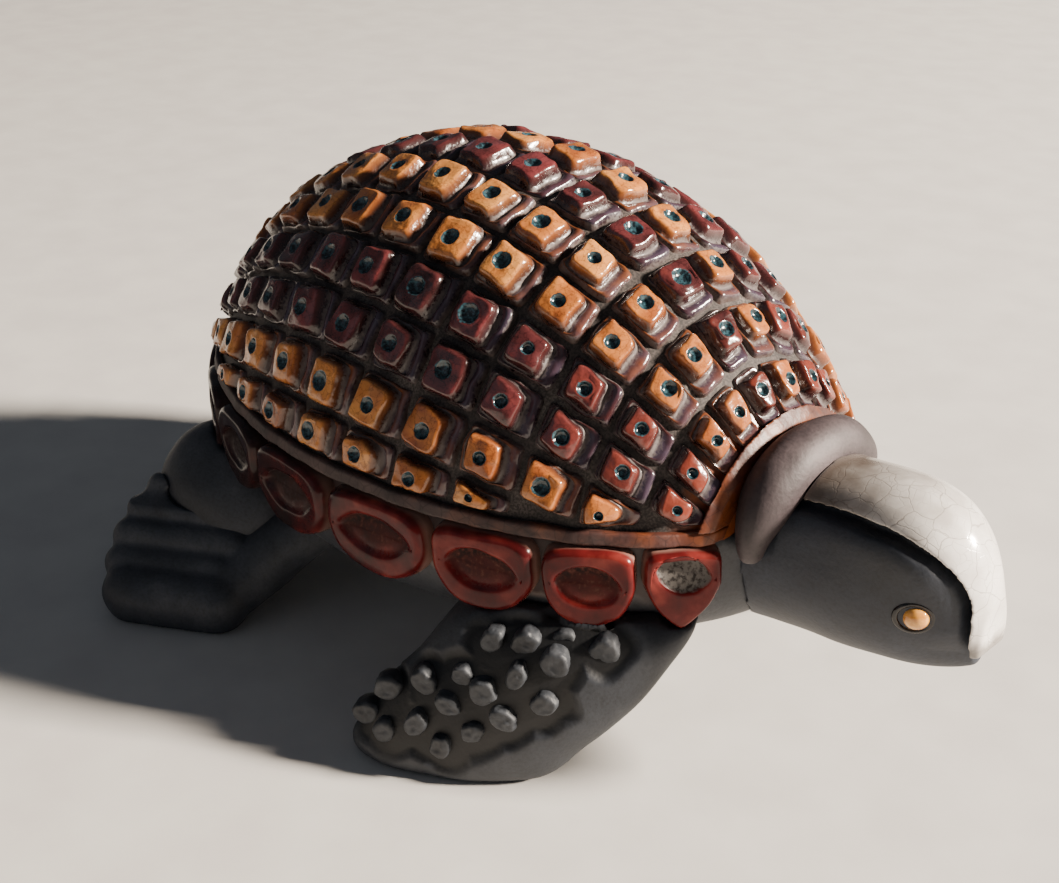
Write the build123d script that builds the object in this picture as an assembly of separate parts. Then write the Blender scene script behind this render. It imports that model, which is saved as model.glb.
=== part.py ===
"""Turtle figurine in smoke-fired clay, as the pieces that a potter forms and lutes together.

Frame: +X ahead, +Y to the turtle's left, +Z up. The origin is on the table, under the middle of
the whole figure. Lengths are in millimetres and angles in degrees.
"""
from build123d import *

import os
from math import acos, atan2, cos, degrees, radians, sin, sqrt

# Carapace: a hollow ellipsoid, cut level at its rim and square across its front
rim_height = 43.0             # table to the level joint between carapace and body
shell_half_length = 71.5      # ellipsoid through the bottoms of the grooves
shell_half_width = 48.0
shell_half_height = 64.2
shell_centre_drop = 19.0      # the ellipsoid's centre below the rim
shell_wall = 6.0
edge_band_height = 2.2        # plain band round the rim
edge_band_proud = 1.4
lip_width = 1.55              # plain lip from the last scales to the flat front face
lip_proud = 2.0
hidden_rings = 4              # coarse facets of the ellipsoid below the rim, on each side

# Scales: a grid of raised pads on the facets of the carapace
rows_per_side = 7
columns_ahead = 6             # ahead of the column at mid-length
columns_behind = 7
column_angle = 9.1            # angle of the ellipsoid's long section that a column takes
groove_width = 1.2
step_height = 0.9             # low step that a scale stands on
step_width = 1.7              # ledge of that step left bare on the head side
step_rim = 0.3                # and on the other sides
step_top_share = 0.93         # top of the step as a part of its foot
scale_height = 2.5            # top of a scale above the groove
scale_top_share = 0.74        # top of a scale as a part of its foot
least_scale_radius = 0.9      # smaller corners of the grid stay bare
dot_share = 0.55              # round dent's radius, from a scale's middle to the nearest edge of its top
dot_depth_share = 0.45        # and its depth, as a part of that radius

# Body: an oval bowl under the carapace, with a firing vent in the belly
body_setback = 0.6            # body wall inside the carapace rim
body_wall = 6.0
band_depth = 8.0              # upright part of the wall, behind the marginal scutes
belly_height = 21.0           # flat belly above the table
belly_share = 0.5             # the flat belly's part of the body's length and width
vent_diameter = 8.0

# Marginal scutes: shields with a dished face, hung on the body wall under the rim
scute_height = 13.0
scute_proud = 3.0
scute_gap = 1.4               # to the next scute and to the rim
scute_chamfer = 0.8
scute_rim_width = 2.4         # raised edge round the dish
scute_dish_depth = 1.4
scute_start_angle = 21.0      # from straight ahead to the first scute's front edge
scute_straight_share = 0.4    # upper part of a scute with upright sides
scute_dish_floor_share = 0.45
scute_width_shares = (0.08, 0.095, 0.115, 0.135, 0.13, 0.115, 0.11, 0.11, 0.11)

# Collar: a clay roll arched over the neck against the carapace's front face
collar_ahead = 3.9            # middle of the roll ahead of the front face
collar_half_width = 14.2      # arch of the roll's middle line
collar_rise = 11.8
collar_spring_drop = 1.0      # springing of the arch below the rim
collar_half_sweep = 98.0      # from the top down each side
collar_roll_width = 9.4      # section of the roll, along X
collar_roll_depth = 10.2       # and square to the arch
collar_taper_shares = (0.35, 0.8, 1.0, 1.0, 1.0, 0.8, 0.35)

# Head and neck: oval sections from the carapace's front face to the beak
head_length = 36.7
head_height = 30.0
head_half_width = 13.0
head_station_shares = (0.0, 0.2, 0.45, 0.65, 0.8, 0.93, 1.0)
head_top_shares = (0.305, 0.33, 0.36, 0.365, 0.3, 0.12, -0.1)
head_bottom_shares = (-0.655, -0.63, -0.6, -0.57, -0.535, -0.49, -0.44)
head_width_shares = (1.08, 1.0, 0.98, 0.88, 0.7, 0.4, 0.17)

# Crown: a glazed cap over the head, from the collar to the tip of the beak
crown_proud = 1.6
crown_line_shares = ((0.18, 0.245), (0.5, 0.285), (0.69, 0.27), (0.84, 0.2), (0.94, 0.09), (0.985, -0.02),
                     (1.0, -0.15), (1.01, -0.33))

# Eyes: a glazed bead in a raised ring on each cheek
eye_ahead = 29.8              # ahead of the carapace's front face
eye_drop = 4.1                # below the rim
eye_bead_radius = 2.1
eye_bead_sink = 0.7
eye_ring_section = 1.2
eye_ring_clearance = 0.1

# Front flippers: paddles that stand on the table and rise into the shoulders
flipper_half_length = 19.0
flipper_half_thickness = 7.0
flipper_turn = 32.0           # long axis turned in from straight ahead
flipper_height_shares = (0.0, 0.07, 0.19, 0.33, 0.47, 0.58, 0.7)
flipper_ahead_shares = (0.46, 0.475, 0.51, 0.56, 0.605, 0.63, 0.63)
flipper_out_shares = (0.985, 0.975, 0.935, 0.86, 0.765, 0.685, 0.56)
flipper_length_shares = (0.75, 0.95, 1.03, 1.07, 1.05, 1.03, 0.95)
flipper_thickness_shares = (0.6, 0.86, 0.94, 1.0, 1.11, 1.18, 1.2)

# Pebbles: pinched lumps on the outer face of each front flipper
pebble_radius = 2.3
pebble_sink_share = 0.4       # of its radius
pebble_shares = (             # ahead of the flipper's middle, height and size of each pebble
    (-0.539, 0.587, 0.87), (-0.294, 0.616, 0.96), (-0.052, 0.663, 1.15), (0.337, 0.63, 1.3),
    (0.061, 0.558, 1.02), (-0.144, 0.493, 0.96), (-0.54, 0.452, 0.7), (0.259, 0.407, 0.96),
    (-0.276, 0.416, 0.96), (-0.762, 0.391, 0.96), (0.074, 0.33, 1.04), (-0.439, 0.344, 0.91),
    (-0.955, 0.316, 0.96), (-0.05, 0.255, 0.87), (-0.533, 0.242, 1.0), (-0.94, 0.2, 0.91),
    (-0.714, 0.173, 0.87), (-0.19, 0.174, 0.96),
)

# Haunches: rounded thighs under the back of the body
haunch_radius = 14.0
haunch_behind_share = 0.64
haunch_out_share = 0.71
haunch_height_share = 0.4

# Hind flippers: fans of toes that point back and outwards, on an ankle
toe_radius = 4.6
toe_length = 18.0
toe_turn = 32.0               # out from straight back
toe_length_shares = (0.6, 0.8, 0.95, 1.0, 0.95)
toe_radius_shares = (0.62, 0.74, 0.88, 1.0, 1.35)
toe_top_shares = (0.585, 0.865, 0.48)      # back, out and up, root of the top toe
toe_low_shares = (0.41, 1.052, 0.105)      # the same for the lowest toe
toe_root_shares = (0.5, 0.4, 0.25, 0.1, 0.0)    # run of a toe back into the haunch or the ankle
ankle_radius = 6.0
ankle_top_shares = (0.33, 0.67, 0.38)
ankle_low_shares = (0.41, 0.96, 0.15)

shell_centre_height = rim_height - shell_centre_drop
rim_turn = degrees(acos(shell_centre_drop / shell_half_height))
rim_share = sqrt(1 - (shell_centre_drop / shell_half_height) ** 2)
body_half_length = shell_half_length * rim_share - body_setback
body_half_width = shell_half_width * rim_share - body_setback
lip_start = shell_half_length * sin(radians(column_angle * (columns_ahead + 0.5))) + groove_width / 2
front_cut = lip_start + lip_width      # the flat front face, ahead of the ellipsoid's centre
cut_size = 4 * (shell_half_length + head_length)
from_base = (Align.CENTER, Align.CENTER, Align.MIN)


def half_space(point, normal):
    """A block on the normal's side of a plane, large enough to cut any piece."""
    return Plane(point, z_dir=normal) * Box(cut_size, cut_size, cut_size, align=from_base)


def polygon_solid(polygons):
    """Solid enclosed by flat polygons."""
    return Solid(Shell([Face(Wire.make_polygon(points)) for points in polygons]))


def shell_point(ring, turn, growth):
    """Point of the shell at an angle along it and an angle down from its crest."""
    across = cos(radians(ring))
    return Vector(
        (shell_half_length + growth) * sin(radians(ring)),
        (shell_half_width + growth) * across * sin(radians(turn)),
        shell_centre_height + (shell_half_height + growth) * across * cos(radians(turn)),
    )


def row_turns():
    """Angles down from the crest that share the arch at mid-length into rows of equal width."""
    arch = EllipticalCenterArc((0, 0), shell_half_width, shell_half_height, 90 - rim_turn, arc_size=rim_turn)
    edges = [arch @ (1 - row / rows_per_side) for row in range(rows_per_side + 1)]
    return [degrees(atan2(edge.X / shell_half_width, edge.Y / shell_half_height)) for edge in edges]


turns = row_turns()
rings = [column_angle * (column - 0.5) for column in range(-columns_behind - 1, columns_ahead + 3)]


def carapace_form(growth):
    """Closed faceted ellipsoid of the shell, grown outwards by a length."""
    lower = [rim_turn + (180 - rim_turn) * step / hidden_rings for step in range(1, hidden_rings)]
    down = turns[1:] + lower
    around = [0] + down + [180] + [360 - turn for turn in reversed(down)]
    tail = shell_point(-90, 0, growth)
    nose = shell_point(90, 0, growth)
    polygons = []
    for turn, next_turn in zip(around, around[1:] + around[:1]):
        for ring, next_ring in zip(rings, rings[1:]):
            corners = ((ring, turn), (next_ring, turn), (next_ring, next_turn), (ring, next_turn))
            polygons.append([shell_point(*corner, growth) for corner in corners])
        polygons.append([tail, shell_point(rings[0], turn, growth), shell_point(rings[0], next_turn, growth)])
        polygons.append([nose, shell_point(rings[-1], turn, growth), shell_point(rings[-1], next_turn, growth)])
    return polygon_solid(polygons)


above_rim = half_space((0, 0, rim_height), (0, 0, 1))
behind_front = half_space((front_cut, 0, 0), (-1, 0, 0))
above_table = half_space((0, 0, 0), (0, 0, 1))
shell_form = carapace_form(0)


def carapace_dome():
    """Hollow shell, open below and closed across the front by its own wall."""
    cavity = scale(Sphere(1), by=tuple(half - shell_wall for half in
                                       (shell_half_length, shell_half_width, shell_half_height)))
    cavity = Pos(0, 0, shell_centre_height) * cavity
    cavity = cavity & half_space((front_cut - shell_wall, 0, 0), (-1, 0, 0))
    return (shell_form & above_rim & behind_front) - cavity


def carapace_edge_band():
    """Plain band round the foot of the carapace."""
    below_scales = half_space((0, 0, rim_height + edge_band_height), (0, 0, -1))
    return (carapace_form(edge_band_proud) & above_rim & below_scales & behind_front) - shell_form


def carapace_front_lip():
    """Plain lip along the arch at the front, between the last scales and the flat face."""
    ahead_of_scales = half_space((lip_start, 0, 0), (1, 0, 0))
    above_band = half_space((0, 0, rim_height + edge_band_height), (0, 0, 1))
    return (carapace_form(lip_proud) & above_band & ahead_of_scales & behind_front) - shell_form


def clip(points, origin, normal):
    """The part of a convex polygon on the normal's side of a plane."""
    kept = []
    for here, ahead in zip(points, points[1:] + points[:1]):
        depth_here = (here - origin).dot(normal)
        depth_ahead = (ahead - origin).dot(normal)
        if depth_here >= 0:
            kept.append(here)
        if depth_here * depth_ahead < 0:
            kept.append(here + (ahead - here) * (depth_here / (depth_here - depth_ahead)))
    return kept


def inset(points, normal, distance):
    """A convex polygon with each edge moved inwards."""
    shrunk = points
    for here, ahead in zip(points, points[1:] + points[:1]):
        inward = normal.cross(ahead - here).normalized()
        shrunk = clip(shrunk, here + inward * distance, inward)
    return shrunk


def middle(points):
    """Mean of a polygon's corners."""
    return sum(points, Vector()) / len(points)


def inner_radius(points, normal):
    """Distance from a polygon's middle to its nearest edge."""
    centre = middle(points)
    edges = zip(points, points[1:] + points[:1])
    return min((centre - here).dot(normal.cross(ahead - here).normalized()) for here, ahead in edges)


def pad(points, normal, height, top_share):
    """Low block on a polygon, with slanting sides, and its top polygon."""
    centre = middle(points)
    top = [centre + (point - centre) * top_share + normal * height for point in points]
    sides = [[points[i - 1], points[i], top[i], top[i - 1]] for i in range(len(points))]
    return polygon_solid([points, top, *sides]), top


def scale_on_cell(row, column):
    """Step, scale and dent on one facet of the right side, or nothing where the facet is too small."""
    ring = column_angle * (column - 0.5)
    next_ring = ring + column_angle
    turn, next_turn = -turns[row], -turns[row + 1]
    cell = [shell_point(ring, turn, 0), shell_point(ring, next_turn, 0),
            shell_point(next_ring, next_turn, 0), shell_point(next_ring, turn, 0)]
    normal = (cell[2] - cell[0]).cross(cell[3] - cell[1]).normalized()
    backward = (cell[3] - cell[2]).cross(normal).normalized()
    if backward.dot(cell[1] - cell[2]) < 0:
        backward = -backward
    ledge_edge = cell[2] + backward * (groove_width / 2 + step_width)
    cell = clip(cell, Vector(0, 0, rim_height + edge_band_height), Vector(0, 0, 1))
    if len(cell) < 3:
        return []
    cell = inset(cell, normal, groove_width / 2)
    if len(cell) < 3 or inner_radius(cell, normal) < least_scale_radius:
        return []
    step, step_top = pad(cell, normal, step_height, step_top_share)
    seat = inset(clip(step_top, ledge_edge, backward), normal, step_rim)
    if len(seat) < 3 or inner_radius(seat, normal) < least_scale_radius:
        return [step]
    raised, scale_top = pad(seat, normal, scale_height - step_height, scale_top_share)
    dot_radius = inner_radius(scale_top, normal) * dot_share
    dot_depth = dot_radius * dot_depth_share
    ball_radius = (dot_radius ** 2 + dot_depth ** 2) / (2 * dot_depth)
    dent = Plane(middle(scale_top) + normal * (ball_radius - dot_depth), z_dir=normal) * Sphere(ball_radius)
    return (step + raised - dent).solids()


def scale_row(row):
    """All scales of one row on the right side, from back to front."""
    columns = range(-columns_behind, columns_ahead + 1)
    return Compound([solid for column in columns for solid in scale_on_cell(row, column)])


def body_form(wall):
    """Oval bowl, set in from the outside by a wall."""
    half_length = body_half_length - wall
    bottom = belly_height + wall
    band_foot = rim_height - band_depth
    flat = half_length * belly_share
    side = Line((half_length, rim_height), (half_length, band_foot))
    turn_under = Spline((half_length, band_foot), (flat, bottom), tangents=((0, -1), (-1, 0)))
    closing = Polyline((flat, bottom), (0, bottom), (0, rim_height), (half_length, rim_height))
    profile = make_face(Plane.XZ * (side + turn_under + closing))
    return scale(revolve(profile, Axis.Z), by=(1, (body_half_width - wall) / half_length, 1))


body_outside = body_form(0)


def body_bowl():
    """Body under the carapace, hollow like it, with the firing vent through the belly."""
    return body_outside - body_form(body_wall) - Cylinder(vent_diameter / 2, cut_size)


def marginal_scute(place, ahead, width):
    """One dished shield on the body wall, at a place on the rim's oval."""
    out = ahead.cross(Vector(0, 0, 1)).normalized()
    if out.dot(place) < 0:
        out = -out
    face_plane = Plane(place + out * scute_proud, x_dir=Vector(0, 0, 1).cross(out), z_dir=out)
    straight = scute_height * scute_straight_share
    upper = Pos(0, -straight / 2) * Rectangle(width, straight)
    oval = Pos(0, -straight) * Ellipse(width / 2, scute_height - straight)
    shield = upper + (oval & Pos(0, -scute_height) * Rectangle(width, 2 * (scute_height - straight)))
    plate = extrude(face_plane * shield, -(scute_proud + body_wall))
    plate = chamfer(plate.faces().sort_by(Axis(face_plane.origin, out))[-1].edges(), scute_chamfer)
    dish_width = width / 2 - scute_rim_width
    dish_height = scute_height / 2 - scute_rim_width
    mouth = Pos(0, -scute_height / 2) * Ellipse(dish_width, dish_height)
    floor = Pos(0, -scute_height / 2, -scute_dish_depth) * Ellipse(dish_width * scute_dish_floor_share,
                                                                  dish_height * scute_dish_floor_share)
    dish = face_plane * loft([mouth, floor])
    return plate - dish - body_outside


def marginal_scutes():
    """All marginal scutes of the right side, from the neck to the back."""
    rim_arc = EllipticalCenterArc((0, 0), body_half_length, body_half_width, 180,
                                  arc_size=180 - scute_start_angle)
    scutes = []
    passed_share = 0
    for width_share in scute_width_shares:
        at = 1 - passed_share - width_share / 2
        place = (rim_arc @ at) + Vector(0, 0, rim_height - scute_gap)
        scutes += marginal_scute(place, rim_arc % at, rim_arc.length * width_share - scute_gap).solids()
        passed_share += width_share
    return Compound(scutes)


def head_form(growth):
    """Neck and head as a loft of oval sections, grown outwards by a length."""
    sections = []
    stations = zip(head_station_shares, head_top_shares, head_bottom_shares, head_width_shares)
    for along, top, bottom, width in stations:
        ahead = front_cut + (head_length + growth) * along
        level = rim_height + head_height * (top + bottom) / 2
        oval = Ellipse(head_half_width * width + growth, head_height * (top - bottom) / 2 + growth)
        sections.append(Plane((ahead, 0, level), x_dir=(0, 1, 0), z_dir=(1, 0, 0)) * oval)
    return loft(sections)


def neck_collar():
    """Roll of clay over the neck, thinner towards its ends."""
    spring = Plane((front_cut + collar_ahead, 0, rim_height - collar_spring_drop),
                   x_dir=(0, 1, 0), z_dir=(1, 0, 0))
    arch = spring * EllipticalCenterArc((0, 0), collar_half_width, collar_rise,
                                        90 - collar_half_sweep, arc_size=2 * collar_half_sweep)
    sections = []
    for number, taper in enumerate(collar_taper_shares):
        at = number / (len(collar_taper_shares) - 1)
        section = Ellipse(collar_roll_width / 2 * taper, collar_roll_depth / 2 * taper)
        sections.append(Plane(arch @ at, x_dir=(1, 0, 0), z_dir=arch % at) * section)
    return loft(sections) & half_space((front_cut, 0, 0), (1, 0, 0))


def head_crown(head, collar):
    """Cap over the top and front of the head."""
    line = [(front_cut + head_length * along, rim_height + head_height * up) for along, up in crown_line_shares]
    top = rim_height + head_height
    nose = front_cut + head_length + head_height
    edge = Spline(*line)
    closing = Polyline(line[-1], (nose, line[-1][1]), (nose, top), (line[0][0], top), line[0])
    region = extrude(make_face(Plane.XZ * (edge + closing)), 2 * head_half_width, both=True)
    return (head_form(crown_proud) & region) - head - collar


def eye(head):
    """Bead and ring of the right eye, seated on the cheek."""
    line = Axis((front_cut + eye_ahead, 0, rim_height - eye_drop), (0, -1, 0))
    hits = head.shell().find_intersection_points(line)
    seat, out = min(hits, key=lambda hit: hit[0].Y)
    if out.Y > 0:
        out = -out
    ring_radius = eye_bead_radius + eye_ring_section / 2 + eye_ring_clearance
    bead = Pos(*(seat - out * eye_bead_sink)) * Sphere(eye_bead_radius)
    ring = Plane(seat, z_dir=out) * Torus(ring_radius, eye_ring_section / 2)
    return bead - head, ring - head


right_side = -1               # sign of Y
left_side = 1


def place_at(shares, side=right_side):
    """Place on one side from shares of the shell's length, its width and the rim's height."""
    back, out, up = shares
    return Vector(-shell_half_length * back, side * shell_half_width * out, rim_height * up)


flipper_axis = Vector(cos(radians(flipper_turn)), sin(radians(flipper_turn)), 0)


def front_flipper():
    """Paddle from its flat sole up into the shoulder."""
    sections = []
    for up, ahead, out, length, thickness in zip(
            flipper_height_shares, flipper_ahead_shares, flipper_out_shares,
            flipper_length_shares, flipper_thickness_shares):
        oval = Ellipse(flipper_half_length * length, flipper_half_thickness * thickness)
        sections.append(Plane(place_at((-ahead, out, up)), x_dir=flipper_axis, z_dir=(0, 0, 1)) * oval)
    return loft(sections)


def flipper_middle(up):
    """Middle of the front flipper at a share of the rim's height, read between the sections."""
    for low in range(len(flipper_height_shares) - 1):
        if up <= flipper_height_shares[low + 1]:
            break
    span = flipper_height_shares[low + 1] - flipper_height_shares[low]
    part = (up - flipper_height_shares[low]) / span
    ahead, out = (table[low] + (table[low + 1] - table[low]) * part
                  for table in (flipper_ahead_shares, flipper_out_shares))
    return place_at((-ahead, out, up))


def flipper_pebbles(flipper, scutes):
    """Lumps on the outer face of the right front flipper, clear of the scutes."""
    outward = flipper_axis.cross(Vector(0, 0, 1))
    shell = flipper.shell()
    pebbles = []
    for along, up, size in pebble_shares:
        start = flipper_middle(up) + flipper_axis * (flipper_half_length * along)
        hits = shell.find_intersection_points(Axis(start, outward))
        seat = max((hit[0] for hit in hits), key=lambda point: point.dot(outward))
        radius = pebble_radius * size
        lump = Plane(seat - outward * (radius * pebble_sink_share), z_dir=outward) * Sphere(radius)
        pebbles += (lump - flipper - scutes).solids()
    return Compound(pebbles)


def rounded_bar(start, end, radius):
    """Bar with ball ends."""
    along = end - start
    bar = Plane(start, z_dir=along) * Cylinder(radius, along.length, align=from_base)
    return bar + Pos(*start) * Sphere(radius) + Pos(*end) * Sphere(radius)


def haunch():
    """Rounded thigh against the body."""
    centre = place_at((haunch_behind_share, haunch_out_share, haunch_height_share))
    away = Vector(0, centre.Y, -centre.Z)
    return Plane(centre, z_dir=away) * Sphere(haunch_radius)


def hind_flipper(side):
    """Fan of toes and the ankle that carries it, cut flat on the table."""
    top, low = place_at(toe_top_shares, side), place_at(toe_low_shares, side)
    pointing = Vector(-cos(radians(toe_turn)), side * sin(radians(toe_turn)), 0)
    fan = rounded_bar(place_at(ankle_top_shares, side), place_at(ankle_low_shares, side), ankle_radius)
    toes = zip(toe_length_shares, toe_root_shares, toe_radius_shares)
    for number, (length, run_back, radius) in enumerate(toes):
        root = top + (low - top) * (number / (len(toe_length_shares) - 1))
        start = root - pointing * (toe_length * run_back)
        end = root + pointing * (toe_length * length)
        fan = fan + rounded_bar(start, end, toe_radius * radius)
    return fan & above_table


pieces = {
    "carapace_dome": carapace_dome(),
    "carapace_edge_band": carapace_edge_band(),
    "carapace_front_lip": carapace_front_lip(),
    "body_bowl": body_bowl(),
}
paired = {f"scale_row_{row + 1}": scale_row(row) for row in range(rows_per_side)}
paired["marginal_scutes"] = marginal_scutes()

scutes = paired["marginal_scutes"].solids()

head = head_form(0) - body_outside
collar = neck_collar() - head - body_outside - scutes
pieces["head"] = head
pieces["neck_collar"] = collar
pieces["head_crown"] = head_crown(head, collar)
paired["eye_bead"], paired["eye_ring"] = eye(head)

flipper = front_flipper() - body_outside - scutes
paired["front_flipper"] = flipper
paired["front_flipper_pebbles"] = flipper_pebbles(flipper, scutes)
paired["haunch"] = haunch() - body_outside - scutes

for name, piece in paired.items():
    pieces[f"right_{name}"] = piece
    pieces[f"left_{name}"] = mirror(piece, about=Plane.XZ)
pieces["right_hind_flipper"] = hind_flipper(right_side) - pieces["right_haunch"] - body_outside
pieces["left_hind_flipper"] = hind_flipper(left_side) - pieces["left_haunch"] - body_outside

boxes = [piece.bounding_box() for piece in pieces.values()]
centre_x = (min(box.min.X for box in boxes) + max(box.max.X for box in boxes)) / 2
os.makedirs("parts", exist_ok=True)
for name, piece in pieces.items():
    export_step(Pos(-centre_x, 0, 0) * piece, f"parts/{name}.step")
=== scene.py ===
from math import atan2, cos, exp, pi, radians, sin
from random import Random

import bmesh
import bpy
import numpy
from mathutils import Matrix, Vector, noise


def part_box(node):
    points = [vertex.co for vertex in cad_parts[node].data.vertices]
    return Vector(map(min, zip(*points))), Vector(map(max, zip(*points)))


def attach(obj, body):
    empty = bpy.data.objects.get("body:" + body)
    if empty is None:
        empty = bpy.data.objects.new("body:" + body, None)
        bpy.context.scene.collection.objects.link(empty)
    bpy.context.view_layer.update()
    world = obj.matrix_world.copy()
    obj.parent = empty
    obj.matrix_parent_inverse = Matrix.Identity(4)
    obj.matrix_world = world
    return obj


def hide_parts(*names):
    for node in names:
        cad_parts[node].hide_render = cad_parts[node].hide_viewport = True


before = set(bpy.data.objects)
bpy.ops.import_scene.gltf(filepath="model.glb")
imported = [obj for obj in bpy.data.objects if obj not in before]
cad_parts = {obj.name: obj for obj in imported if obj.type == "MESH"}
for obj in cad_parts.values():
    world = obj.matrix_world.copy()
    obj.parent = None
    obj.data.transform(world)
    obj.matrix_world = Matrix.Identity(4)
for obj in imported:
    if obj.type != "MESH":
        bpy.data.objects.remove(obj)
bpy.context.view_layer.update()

# Body: a hollow oval bowl of smoke-blackened clay, pinched from one slab and pared below.
# Behind the neck, red glaze ran down it between the scutes and stopped in a wavy pale line; the
# bare clay below took the smoke in soft clouds of charcoal and ash grey.
MM = 0.001
weld_distance = 0.002 * MM
sole_height = 0.4 * MM
body_skin = 1.0 * MM
body_unevenness = 0.35 * MM
body_marks = 14.0 * MM
neck_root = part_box("carapace_dome")[1].x - 6.0 * MM
neck_fade = 5.0 * MM
run_wave = 9.0 * MM
run_edge = (36.5 * MM, 37.5 * MM)
tide_edge = (35.2 * MM, 36.6 * MM)


def cad_mesh(node):
    """A CAD node as one bmesh, its faces welded along their seams."""
    bm = bmesh.new()
    bm.from_mesh(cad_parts[node].data)
    bmesh.ops.remove_doubles(bm, verts=bm.verts, dist=weld_distance)
    return bm


def rub(bm, verts, rounds):
    """Rubs corners round, as a wet finger does on soft clay."""
    for _ in range(rounds):
        bmesh.ops.smooth_vert(bm, verts=verts, factor=0.5,
                              use_axis_x=True, use_axis_y=True, use_axis_z=True)
    bm.normal_update()


def clay_skin(node, size, rounds):
    """A CAD node's shape under one even skin, its edges rubbed round."""
    bm = cad_mesh(node)
    mesh = bpy.data.meshes.new("form")
    bm.to_mesh(mesh)
    form = bpy.data.objects.new("form", mesh)
    bpy.context.scene.collection.objects.link(form)
    skin = form.modifiers.new("skin", "REMESH")
    skin.mode = "VOXEL"
    skin.voxel_size = size
    skinned = bpy.data.meshes.new_from_object(form.evaluated_get(bpy.context.evaluated_depsgraph_get()))
    bm.clear()
    bm.from_mesh(skinned)
    bpy.data.objects.remove(form)
    bpy.data.meshes.remove(mesh)
    bpy.data.meshes.remove(skinned)
    rub(bm, bm.verts, rounds)
    return bm


def knead(bm, amount, size, seed):
    """Finger marks: moves the skin in and out, and leaves what stands on the table flat."""
    for vert in bm.verts:
        if vert.co.z > sole_height:
            vert.co += vert.normal * amount * noise.noise(vert.co / size + Vector((seed, 0, 0)))
            vert.co.z = max(vert.co.z, 0)


def fix(name, bm, material, slot, *nodes):
    """Makes a piece of a bmesh and lutes it to the figure in place of CAD nodes."""
    mesh = bpy.data.meshes.new(name)
    bm.to_mesh(mesh)
    bm.free()
    mesh.shade_smooth()
    mesh.materials.append(material)
    piece = bpy.data.objects.new(name, mesh)
    bpy.context.scene.collection.objects.link(piece)
    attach(piece, "root")
    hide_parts(*nodes)
    return piece


def linear(code):
    """An sRGB hex colour as linear RGBA."""
    shares = [int(code[place:place + 2], 16) / 255 for place in (0, 2, 4)]
    return [s / 12.92 if s <= 0.04045 else ((s + 0.055) / 1.055) ** 2.4 for s in shares] + [1.0]


def join(tree, node, sockets):
    """Gives a node's sockets their links, where the value is a socket, or their plain values."""
    for key, value in sockets.items():
        if isinstance(value, bpy.types.NodeSocket):
            tree.links.new(value, node.inputs[key])
        else:
            node.inputs[key].default_value = value


def add_node(tree, kind, settings=None, sockets=None, stops=()):
    """Adds a shader node with its settings, its socket values or links, and a ramp's stops.

    Numbers stand for sockets. Of a Mix, 0 is the share of colour 7 over colour 6, and its colour
    comes out at 2. Of a MapRange, 1 and 2 are the range of value 0, and 3 and 4 that of the result.
    """
    made = tree.nodes.new("ShaderNode" + kind)
    for key, value in (settings or {}).items():
        setattr(made, key, value)
    for place, (position, colour) in enumerate(stops):
        elements = made.color_ramp.elements
        element = elements[place] if place < 2 else elements.new(position)
        element.position = position
        element.color = linear(colour)
    join(tree, made, sockets or {})
    return made


# Settings that many nodes share
multiplied = {"data_type": "RGBA", "blend_type": "MULTIPLY"}
bent_by = {"data_type": "RGBA", "blend_type": "LINEAR_LIGHT"}
in_colour = {"data_type": "RGBA"}
times_plus = {"operation": "MULTIPLY_ADD"}
times = {"operation": "MULTIPLY"}
cell_edges = {"feature": "DISTANCE_TO_EDGE"}


def new_material(name):
    """An empty material with its surface node and its Object coordinates."""
    material = bpy.data.materials.new(name)
    material.use_nodes = True
    tree = material.node_tree
    tree.nodes.clear()
    surface = add_node(tree, "BsdfPrincipled")
    add_node(tree, "OutputMaterial", sockets={"Surface": surface.outputs[0]})
    return material, tree, surface, add_node(tree, "TexCoord").outputs["Object"]


def smoked_clay(name, dark, middle, pale, cloud, seed):
    """Bare raku clay from the smoke bin: matt, with clouds of soot and ash and a fine grog grain."""
    material, tree, surface, place = new_material(name)
    moved = add_node(tree, "Mapping", sockets={"Vector": place, "Location": (seed, seed, seed)}).outputs[0]
    clouds = add_node(tree, "TexNoise",
                      sockets={"Vector": moved, "Scale": 1 / cloud, "Detail": 5.0, "Roughness": 0.6})
    grain = add_node(tree, "TexNoise", sockets={"Vector": moved, "Scale": 1 / (0.6 * MM), "Detail": 4.0})
    thumbed = add_node(tree, "TexNoise", sockets={"Vector": moved, "Scale": 1 / (3.5 * MM), "Detail": 3.0})
    field_shade = add_node(tree, "ValToRGB", sockets={0: clouds.outputs[0]},
                    stops=((0.3, dark), (0.52, middle), (0.75, pale)))
    specks = add_node(tree, "ValToRGB", sockets={0: grain.outputs[0]},
                      stops=((0.3, "8A8A8A"), (0.55, "FFFFFF")))
    grained = add_node(tree, "Mix", multiplied, {0: 0.4, 6: field_shade.outputs[0], 7: specks.outputs[0]})
    rough = add_node(tree, "MapRange", sockets={0: clouds.outputs[0], 3: 0.48, 4: 0.68})
    relief = add_node(tree, "Math", times_plus, {0: thumbed.outputs[0], 1: 2.5, 2: grain.outputs[0]})
    bump = add_node(tree, "Bump",
                    sockets={"Strength": 0.25, "Distance": 0.2 * MM, "Height": relief.outputs[0]})
    join(tree, surface, {"Base Color": grained.outputs[2], "Roughness": rough.outputs[0],
                         "Normal": bump.outputs[0]})
    return material, tree, surface, place, grained


body_clay, tree, surface, place, bare = smoked_clay(
    "smoked_body_clay", "22262D", "33373E", "4C4D52", 26 * MM, 0.0)
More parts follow.
